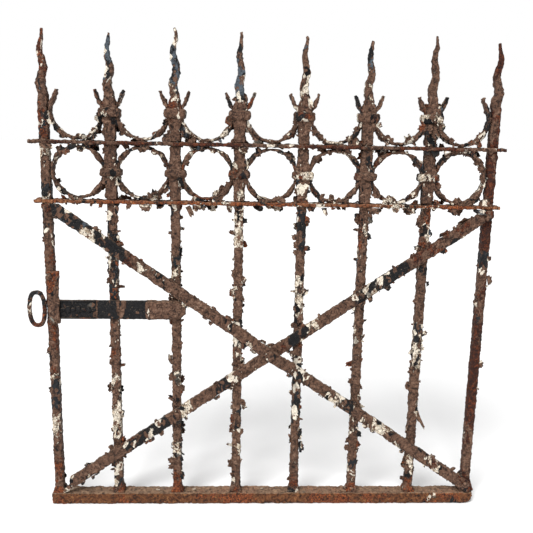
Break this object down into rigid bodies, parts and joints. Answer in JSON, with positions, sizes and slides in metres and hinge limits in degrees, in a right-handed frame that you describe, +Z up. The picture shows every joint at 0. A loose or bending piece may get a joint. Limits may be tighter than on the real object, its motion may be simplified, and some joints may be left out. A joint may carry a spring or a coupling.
{
  "type": "garden gate",
  "caption": "Wrought-iron garden gate leaf with flame-tipped verticals, a band of rings under open scrolls, crossed flat braces and a drop latch lever with a finger loop.",
  "frame": {"origin": "centre of the bottom rail's underside, midway between the leaf's faces", "axes": "+Z up along the verticals, -Y the leaf's front face (braces and latch), +X from the latch side to the hanging side"},
  "size_m": [0.9616, 0.0499, 0.99],
  "materials": {
    "painted_iron": "heavy peeling brown paint over cream and blue-black coats, with rust",
    "rusted_iron": "granular orange-brown rust with remains of paint",
    "black_iron": "black worn paint with a little rust"
  },
  "bodies": {
    "leaf": {"stile_left": "painted_iron", "bar_2": "painted_iron", "bar_3": "painted_iron", "bar_4": "painted_iron", "bar_5": "painted_iron", "bar_6": "painted_iron", "bar_7": "painted_iron", "stile_right": "painted_iron", "ring_1": "painted_iron", "ring_2": "painted_iron", "ring_3": "painted_iron", "ring_4": "painted_iron", "ring_5": "painted_iron", "ring_6": "painted_iron", "ring_7": "painted_iron", "scroll_1": "painted_iron", "scroll_2": "painted_iron", "scroll_3": "painted_iron", "scroll_4": "painted_iron", "scroll_5": "painted_iron", "scroll_6": "painted_iron", "scroll_7": "painted_iron", "collar_upper_2": "painted_iron", "collar_upper_3": "painted_iron", "collar_upper_4": "painted_iron", "collar_upper_5": "painted_iron", "collar_upper_6": "painted_iron", "collar_upper_7": "painted_iron", "collar_lower_2": "painted_iron", "collar_lower_3": "painted_iron", "collar_lower_4": "painted_iron", "collar_lower_5": "painted_iron", "collar_lower_6": "painted_iron", "collar_lower_7": "painted_iron", "brace_fall": "painted_iron", "brace_rise": "painted_iron", "rail_upper": "rusted_iron", "rail_lower": "rusted_iron", "rail_bottom": "rusted_iron", "centre_washer": "rusted_iron", "latch_guide": "rusted_iron", "brace_rivet_upper_left": "rusted_iron", "brace_rivet_upper_right": "rusted_iron", "brace_rivet_lower_right": "rusted_iron", "brace_rivet_fall_3": "rusted_iron", "brace_rivet_fall_6": "rusted_iron", "brace_rivet_rise_3": "rusted_iron", "brace_rivet_rise_6": "rusted_iron", "guide_rivet": "rusted_iron", "centre_rivet": "rusted_iron", "latch_pivot": "rusted_iron"},
    "latch": {"latch_lever": "black_iron", "latch_loop": "black_iron"}
  },
  "joints": [
    {"name": "latch_lift", "type": "hinge", "parent": "leaf", "child": "latch", "pos_m": [-0.1905, -0.0131, 0.4355], "axis": [0, 1, 0], "range_deg": [0, 7.5]}
  ]
}
